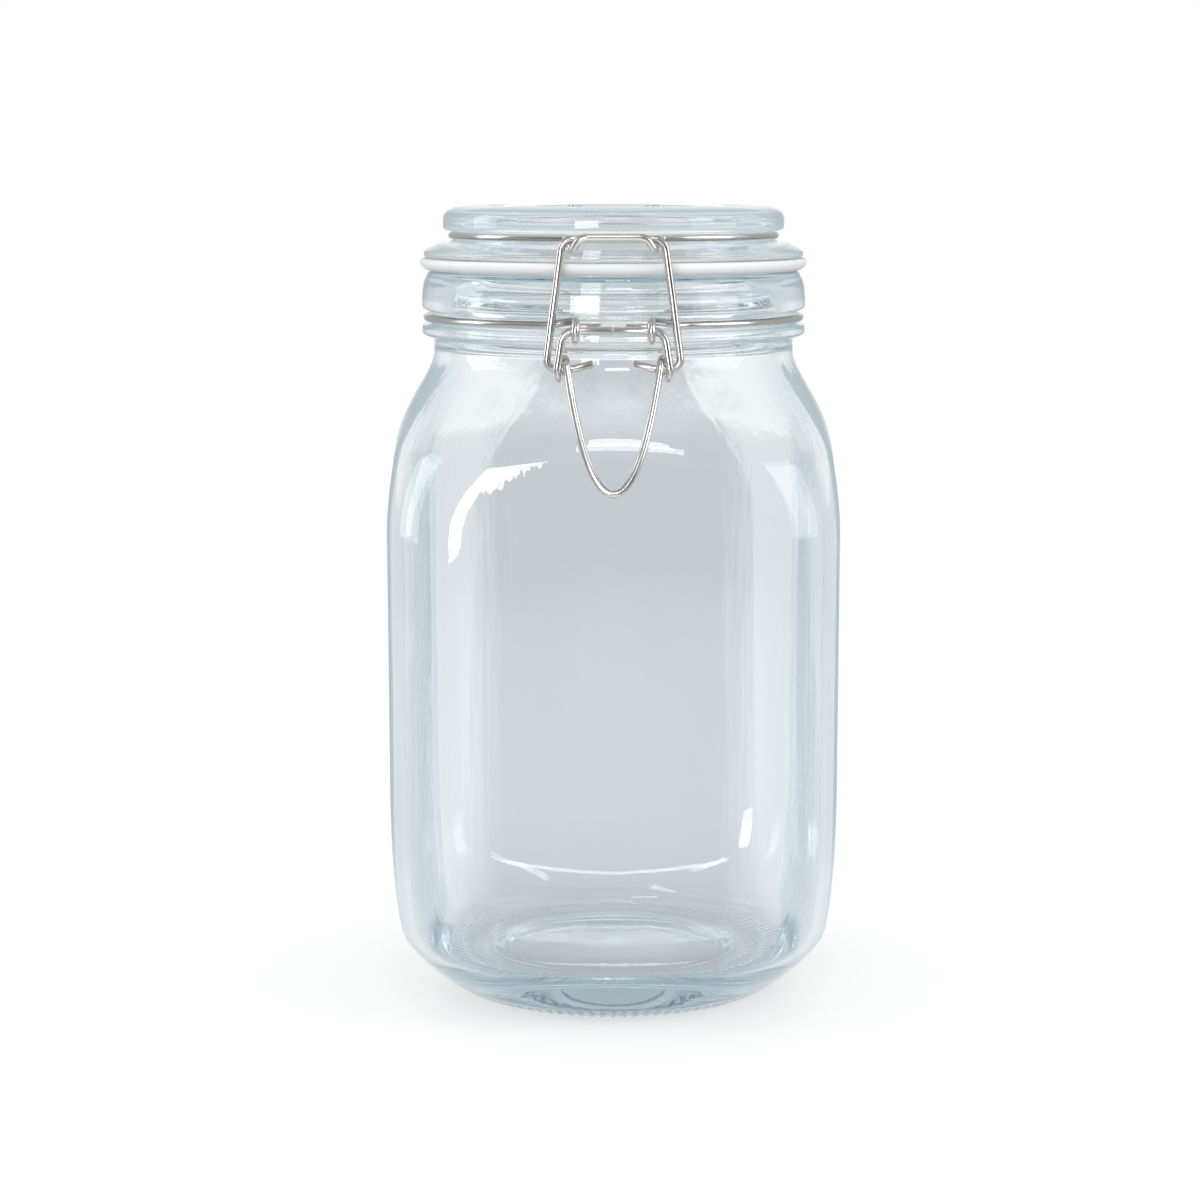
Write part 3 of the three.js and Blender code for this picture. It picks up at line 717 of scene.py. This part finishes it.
# The sealing ring
# A flat ring of translucent white silicone, cast in one piece, that lies on the lip and goes round the
# plug. Its lower outer edge is bevelled and its upper one is rounded.
gasket_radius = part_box("gasket")[1].x
gasket_round = 0.0008
gasket_bevel = 0.0019
gasket_columns = 256
seal_dull, seal_bright = (0.93, 0.955, 0.965, 1), (0.97, 0.98, 0.985, 1)
seal_cloud_scale, seal_cloud_detail = 60.0, 4.0
seal_smooth, seal_rough = 0.35, 0.5
seal_grain_scale, seal_grain_height = 900.0, 0.00002
seal_clearness, seal_ior = 0.2, 1.41


def gasket_profile():
    """The ring's section, once round: under side, bevel, outer edge, top and bore."""
    bottom = mouth_height + seat_gap
    top = bottom + gasket_thickness
    inner = bore_radius - plug_fit + seat_gap
    return joined(
        line((inner, bottom), (gasket_radius - gasket_bevel, bottom), 3),
        curve([(gasket_radius - gasket_bevel, bottom), (gasket_radius - gasket_bevel / 6,
               bottom + gasket_bevel / 3), (gasket_radius, bottom + gasket_bevel)], 8),
        curve([(gasket_radius, top - gasket_round), (gasket_radius, top),
               (gasket_radius - gasket_round, top)], 7),
        line((gasket_radius - gasket_round, top), (inner, top), 3),
    )


def silicone_material():
    """Milky silicone: white that lets a little light through, a satin skin with a fine grain, and a
    cloudiness in colour and gloss."""
    material, tree = new_material("seal")
    place = add_node(tree, "ShaderNodeTexCoord").outputs["Object"]
    cloud = add_node(tree, "ShaderNodeTexNoise", {"Vector": place, "Scale": seal_cloud_scale,
                                                  "Detail": seal_cloud_detail}).outputs["Fac"]
    rough = add_node(tree, "ShaderNodeMapRange",
                     {"Value": cloud, "To Min": seal_smooth, "To Max": seal_rough})
    grain = add_node(tree, "ShaderNodeTexNoise", {"Vector": place, "Scale": seal_grain_scale})
    bump = add_node(tree, "ShaderNodeBump", {"Height": grain.outputs["Fac"], "Distance": seal_grain_height})
    shader = add_node(tree, "ShaderNodeBsdfPrincipled", {
        "Base Color": mixed(tree, cloud, seal_dull, seal_bright), "Roughness": rough.outputs["Result"],
        "IOR": seal_ior, "Transmission Weight": seal_clearness, "Normal": bump.outputs["Normal"]})
    add_node(tree, "ShaderNodeOutputMaterial", {"Surface": shader.outputs["BSDF"]})
    return material


gasket_rings = turned_rings(gasket_profile(), gasket_columns)
seal_ring = closed_mesh("seal_ring", gasket_rings[::-1], round_rows=True)
seal_ring.data.materials.append(silicone_material())
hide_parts("gasket")
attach(seal_ring, "lid")


# The neck wire
# Bright stainless spring wire, two millimetres thick, laid in the groove of the neck. At the front each
# end is wound into an eyelet with a short tail, and at the back it is bent up into the hinge's bridge.
wire_fit = 0.0005
loop_radius = 2 * wire_radius + wire_fit
eyelet_drop = 0.0009
eyelet_reach = 0.0521
eyelet_height = neck_wire_height - eyelet_drop
eyelet_outer_x = 0.0090
eyelet_inner_x = 0.0092
tail_end_x = 0.003
tail_bend = 0.0015
neck_front_x = 0.0164
neck_back_x = 0.019
bridge_half_width = 0.0155
bridge_foot_half_width = 0.0165
bridge_foot_reach = 0.0503
hinge_reach = 0.0536
hinge_height = 0.188
wire_bend = 0.002
eyelet_entry = 82
eyelet_exit = 375
tail_bend_angle = 40
wire_sides = 20
bend_step = math.radians(7)
coil_step = math.radians(9)
ring_step = math.radians(2.5)
wire_cut_edge, wire_cut_face = 0.25, 0.4
no_wire_way = (0.5, 0.62, 0.605)
steel_dull, steel_bright = (0.58, 0.565, 0.54, 1), (0.78, 0.77, 0.75, 1)
spot_scale, spot_detail = 140.0, 4.0
drawn_stretch, drawn_detail = (60.0, 22.0, 1.0), 5.0
drawn_low, drawn_high = 0.3, 0.7
drawn_smooth, drawn_rough = 0.12, 0.26
drawn_height, drawn_strength = 0.00004, 0.5


def at(x, y, z, bend=0.0):
    """One place on a wire's centre line, and the radius that the wire is bent to there."""
    return np.array([[x, y, z, bend]])


def mirrored(half):
    """A half wire followed by the same places on the other side, in reverse order."""
    return np.concatenate([half, (half * (-1, 1, 1, 1))[::-1]])


def coil(reach, height, start, end, start_x, end_x):
    """A coil round an axis along X. Angles in degrees run from the back over the top to the front."""
    steps = math.ceil(abs(math.radians(end - start)) / coil_step)
    angle = np.radians(np.linspace(start, end, steps + 1))
    x = np.linspace(start_x, end_x, steps + 1)
    return np.stack([x, reach + loop_radius * np.cos(angle), height + loop_radius * np.sin(angle),
                     np.zeros(steps + 1)], -1)


def ring_side(radius, height, front_x, back_x):
    """The left side of a level ring, from a place in front to one at the back, by their distance in X."""
    first = -math.acos(-front_x / radius)
    last = -2 * math.pi + math.acos(-back_x / radius)
    steps = math.ceil((first - last) / ring_step)
    angle = np.linspace(first, last, steps + 1)
    return np.stack([radius * np.cos(angle), radius * np.sin(angle), np.full(steps + 1, height),
                     np.zeros(steps + 1)], -1)


def off_ring(radius, leave_x, corner_x, height, side, bend):
    """Where the straight run that leaves a ring at a place meets the line x = corner."""
    leave_y = math.sqrt(radius**2 - leave_x**2)
    corner_y = leave_y + (leave_x - corner_x) * leave_x / leave_y
    return at(-corner_x, side * corner_y, height, bend)


def bend_arc(before, corner, after, radius):
    """The arc of one bend: it touches both straight runs, and turns through the angle between them."""
    back = (before - corner) / np.linalg.norm(before - corner)
    ahead = (after - corner) / np.linalg.norm(after - corner)
    turn = math.pi - math.acos(np.clip(back @ ahead, -1, 1))
    start = corner + back * radius * math.tan(turn / 2)
    middle = (back + ahead) / np.linalg.norm(back + ahead)
    centre = corner + middle * radius / math.cos(turn / 2)
    arm = start - centre
    forward = -back
    steps = math.ceil(turn / bend_step)
    angle = np.linspace(0, turn, steps + 1)[:, None]
    return centre + arm * np.cos(angle) + forward * radius * np.sin(angle)


def centre_line(bends):
    """The wire's centre line: sharp places as they are, and an arc at each place that has a bend."""
    places = bends[:, :3]
    stretches = [bend_arc(places[i - 1], places[i], places[i + 1], bends[i, 3]) if bends[i, 3] > 0
                 else places[i] for i in range(len(bends))]
    return joined(*stretches)


def drawn_wire(name, bends):
    """A round section carried along the centre line. It is square to the mean direction at each point, and
    its ends are cut off with a small round edge. UV holds the length along the wire and the turn round it."""
    line_points = centre_line(bends)
    ahead = np.gradient(line_points, axis=0)
    ahead /= np.linalg.norm(ahead, axis=1)[:, None]
    edge = wire_radius * wire_cut_edge
    first = line_points[0] + ahead[0] * edge
    last = line_points[-1] - ahead[-1] * edge
    path = np.concatenate([line_points[:1], line_points[:1], [first], line_points[1:-1], [last],
                           line_points[-1:], line_points[-1:]])
    along = np.concatenate([ahead[:1], ahead[:1], ahead[:-1], ahead[-1:], ahead[-1:], ahead[-1:]])
    width = np.full(len(path), wire_radius)
    width[[0, -1]] = wire_radius * wire_cut_face
    width[[1, -2]] = wire_radius - edge
    across = np.cross(along, no_wire_way)
    across /= np.linalg.norm(across, axis=1)[:, None]
    upward = np.cross(along, across)
    angle = np.linspace(0, 2 * math.pi, wire_sides, endpoint=False)
    ring = across[:, None] * np.cos(angle)[:, None] + upward[:, None] * np.sin(angle)[:, None]
    grid = path[:, None] + ring * width[:, None, None]
    piece = closed_mesh(name, grid[:, ::-1], line_points[0], line_points[-1])
    add_wire_uv(piece, path, wire_sides)
    return piece


def add_wire_uv(piece, path, sides):
    """UV by vertex: u is the length run along the path in metres, v the share of the turn."""
    run = np.concatenate([[0], np.cumsum(np.linalg.norm(np.diff(path, axis=0), axis=1))])
    u = np.concatenate([np.repeat(run, sides), [0, run[-1]]])
    v = np.concatenate([np.tile(np.arange(sides) / sides, len(path)), [0.5, 0.5]])
    index = np.zeros(len(piece.data.loops), int)
    piece.data.loops.foreach_get("vertex_index", index)
    layer = piece.data.uv_layers.new(name="along")
    layer.data.foreach_set("uv", np.stack([u[index], v[index]], -1).ravel())


def steel_material():
    """Bright drawn stainless wire: fine lines along it in gloss and height, and rubbed spots in tone."""
    material, tree = new_material("wire_steel")
    run = add_node(tree, "ShaderNodeUVMap", uv_map="along")
    stretched = add_node(tree, "ShaderNodeMapping", {"Vector": run.outputs["UV"], "Scale": drawn_stretch})
    lines = add_node(tree, "ShaderNodeTexNoise", {"Vector": stretched.outputs["Vector"], "Scale": 1.0,
                                                  "Detail": drawn_detail}).outputs["Fac"]
    place = add_node(tree, "ShaderNodeTexCoord").outputs["Object"]
    spots = add_node(tree, "ShaderNodeTexNoise",
                     {"Vector": place, "Scale": spot_scale, "Detail": spot_detail}).outputs["Fac"]
    rough = add_node(tree, "ShaderNodeMapRange",
                     {"Value": lines, "From Min": drawn_low, "From Max": drawn_high,
                      "To Min": drawn_smooth, "To Max": drawn_rough})
    bump = add_node(tree, "ShaderNodeBump",
                    {"Height": lines, "Distance": drawn_height, "Strength": drawn_strength})
    shader = add_node(tree, "ShaderNodeBsdfPrincipled", {
        "Base Color": mixed(tree, spots, steel_dull, steel_bright), "Metallic": 1.0,
        "Roughness": rough.outputs["Result"], "Normal": bump.outputs["Normal"]})
    add_node(tree, "ShaderNodeOutputMaterial", {"Surface": shader.outputs["BSDF"]})
    return material


wire_steel = steel_material()


def finish_wire(piece, node, body):
    """Gives a wire its steel, and sets it on its body in the place of its plain solid."""
    piece.data.materials.append(wire_steel)
    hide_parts(node)
    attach(piece, body)


tail_angle = math.radians(eyelet_exit)
tail_y = -eyelet_reach + loop_radius * math.cos(tail_angle)
tail_z = eyelet_height + loop_radius * math.sin(tail_angle)
neck_half = np.concatenate([
    at(-tail_end_x, tail_y, tail_z),
    at(-eyelet_inner_x, tail_y, tail_z, tail_bend),
    coil(-eyelet_reach, eyelet_height, eyelet_exit - tail_bend_angle, eyelet_entry,
         -eyelet_inner_x, -eyelet_outer_x),
    ring_side(neck_wire_radius, neck_wire_height, neck_front_x, neck_back_x),
    off_ring(neck_wire_radius, neck_back_x, bridge_foot_half_width, neck_wire_height, 1, wire_bend),
    at(-bridge_foot_half_width, bridge_foot_reach, neck_wire_height, wire_bend),
    at(-bridge_half_width, hinge_reach, hinge_height, wire_bend),
])
finish_wire(drawn_wire("neck_spring_wire", mirrored(neck_half)), "neck_wire", "jar")


# The lid wire
# The same spring wire, sprung into the lid's groove. In front it is bent into a bow with a hook for the
# bail on each side, and behind, two arms end in coils that turn on the bridge of the neck wire.
bow_reach = 0.0539
bow_height = 0.197
bow_half_width = 0.0078
hook_foot_x = 0.0098
hook_foot_reach = 0.0527
hook_heel_reach = 0.0494
hook_foot_height = 0.1939
hook_neck_reach = 0.0466
hook_bend = 0.0013
bow_bend = 0.003
lid_wire_front_x = 0.014
lid_wire_back_x = 0.0154
hook_root_x = 0.011
arm_x = 0.0122
arm_bend = 0.003
arm_slope = math.radians(37)

coil_top = 90 - math.degrees(arm_slope)
tangent_y = hinge_reach + loop_radius * math.sin(arm_slope)
tangent_z = hinge_height + loop_radius * math.cos(arm_slope)
knee_y = tangent_y - (lid_wire_height - tangent_z) / math.tan(arm_slope)
lid_half = np.concatenate([
    at(-bow_half_width, -bow_reach, bow_height, bow_bend),
    at(-hook_foot_x, -hook_foot_reach, hook_foot_height, hook_bend),
    at(-hook_foot_x, -hook_heel_reach, hook_foot_height, hook_bend),
    at(-hook_root_x, -hook_neck_reach, lid_wire_height, hook_bend),
    off_ring(lid_wire_radius, lid_wire_front_x, hook_root_x, lid_wire_height, -1, wire_bend),
    ring_side(lid_wire_radius, lid_wire_height, lid_wire_front_x, lid_wire_back_x),
    off_ring(lid_wire_radius, lid_wire_back_x, arm_x, lid_wire_height, 1, wire_bend),
    at(-arm_x, knee_y, lid_wire_height, arm_bend),
    coil(hinge_reach, hinge_height, coil_top, coil_top - 360, -arm_x, -arm_x + 2 * wire_radius + wire_fit),
])
finish_wire(drawn_wire("lid_spring_wire", mirrored(lid_half[::-1])), "lid_wire", "lid")


# The bail
# A frame of the same wire. Its bar lies in the hooks of the lid wire, its legs spread downwards, and its
# two ends are bent in as pins that turn in the coils of the lever.
bail_bar_reach = 0.0509
bail_bar_height = 0.1966
bail_top_x = 0.0122
bail_top_bend = 0.003
bail_foot_x = 0.0164
bail_foot_bend = 0.0022
pin_end_x = 0.0048
pin_reach = 0.0497
pin_height = 0.1655
pin_bend_x = 0.0096
pin_end_lift = 0.0012

bail_half = np.concatenate([
    at(-pin_end_x, -pin_reach, pin_height + pin_end_lift),
    at(-pin_bend_x, -pin_reach, pin_height, wire_bend),
    at(-bail_foot_x, -pin_reach, pin_height, bail_foot_bend),
    at(-bail_top_x, -bail_bar_reach, bail_bar_height, bail_top_bend),
])
finish_wire(drawn_wire("bail_wire", mirrored(bail_half)), "bail", "bail")


# The lever
# One more bent wire: a bar through the eyelets of the neck wire, a coil round each pin of the bail, and a
# long bowed V to pull. Its two ends butt together in the middle of the bar.
lever_top_x = 0.0121
lever_top_bend = 0.0034
lever_foot_x = 0.0136
lever_coil_shift = 0.0024
lever_length = 0.0309
lever_bow_share = 0.35
lever_bow_x = 0.0096
lever_tip_x = 0.0062
lever_butt_gap = 0.0001
lever_tilt = 15
lever_points = 60

handle_tilt = math.radians(lever_tilt)
handle_x = np.array([lever_foot_x - lever_coil_shift, lever_bow_x, lever_tip_x, 0]) * -1
handle_down = np.array([0, lever_length * lever_bow_share, lever_length, lever_length])
handle_y = -pin_reach - loop_radius * math.cos(handle_tilt) - handle_down * math.sin(handle_tilt)
handle_z = pin_height + loop_radius * math.sin(handle_tilt) - handle_down * math.cos(handle_tilt)
limb = curve(np.stack([handle_x, handle_y, handle_z], -1), lever_points)[1:]
lever_half = np.concatenate([
    at(-lever_butt_gap / 2, -eyelet_reach, eyelet_height),
    at(-lever_top_x, -eyelet_reach, eyelet_height, lever_top_bend),
    coil(-pin_reach, pin_height, 180, 540 - lever_tilt, -lever_foot_x, -lever_foot_x + lever_coil_shift),
    np.column_stack([limb, np.zeros(len(limb))]),
])
finish_wire(drawn_wire("lever_wire", mirrored(lever_half)), "lever", "lever")
